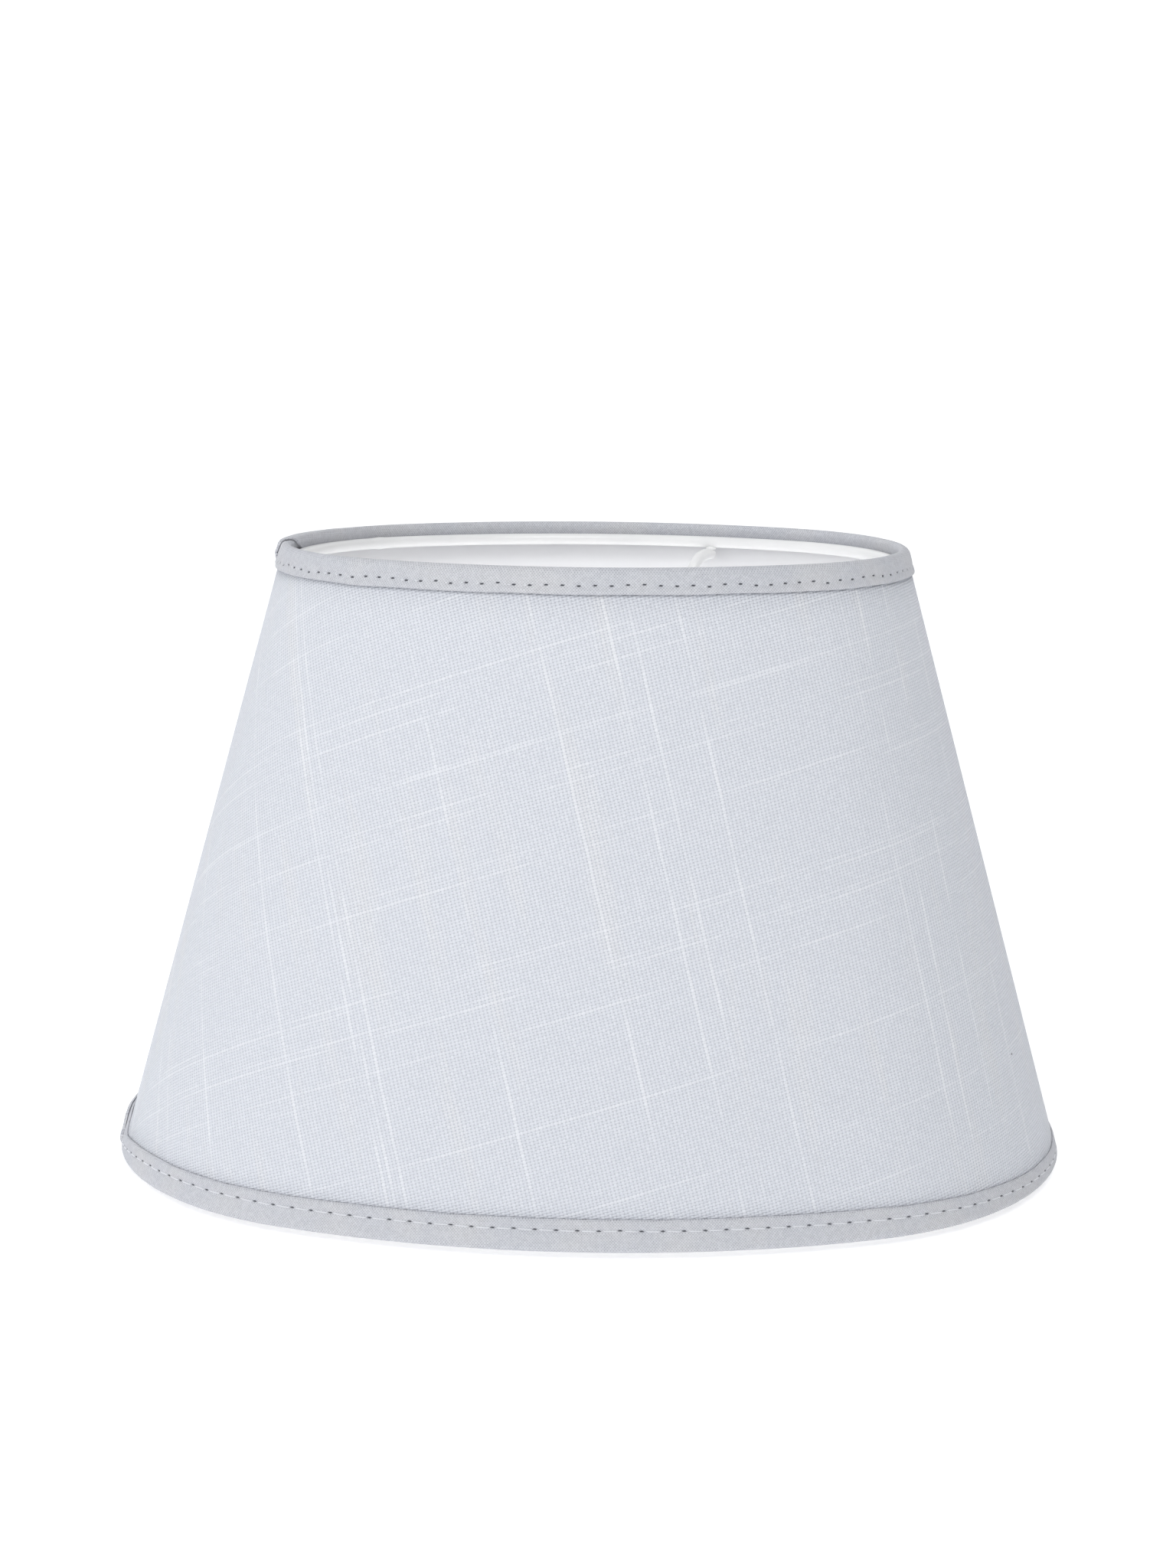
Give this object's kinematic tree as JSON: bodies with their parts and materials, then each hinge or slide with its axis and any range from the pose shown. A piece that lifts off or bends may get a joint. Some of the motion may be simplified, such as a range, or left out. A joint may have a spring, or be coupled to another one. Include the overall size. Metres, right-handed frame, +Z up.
{
  "type": "lamp shade",
  "caption": "Oval tapered fabric lamp shade with tape-bound edges, a white liner, a wire frame and a tilting round fitter with a lift-out reducer ring.",
  "frame": {"origin": "on the floor under the middle of the shade, level with the underside of the bottom binding", "axes": "+X along the oval's long way, to the right seen from the front; +Y to the back; +Z up"},
  "size_m": [0.2503, 0.1724, 0.1585],
  "materials": {
    "linen": "plain-weave slub cloth, bluish white",
    "tape": "fine plain-weave bias tape, grey-white",
    "thread": "white sewing thread",
    "liner": "satin white plastic sheet",
    "white_wire": "white powder coat",
    "rivet": "zinc-plated steel",
    "reducer": "moulded white plastic"
  },
  "bodies": {
    "shade": {"cover": "linen", "liner": "liner", "top_binding": "tape", "bottom_binding": "tape", "top_seam_thread": "thread", "bottom_seam_thread": "thread", "top_ring": "white_wire", "bottom_ring": "white_wire", "arm_left": "white_wire", "arm_front_right": "white_wire", "arm_back_right": "white_wire", "hub_band": "white_wire"},
    "fitter": {"fitter_ring": "white_wire", "rivet_front": "rivet", "rivet_back": "rivet"},
    "reducer": {"reducer_ring": "reducer"}
  },
  "joints": [
    {"name": "fitter_tilt", "type": "hinge", "parent": "shade", "child": "fitter", "pos_m": [0, 0, 0.1285], "axis": [0, 1, 0], "range_deg": [-25, 25]},
    {"name": "reducer_lift", "type": "slide", "parent": "fitter", "child": "reducer", "axis": [0, 0, 1], "range_m": [0, 0.045]}
  ]
}
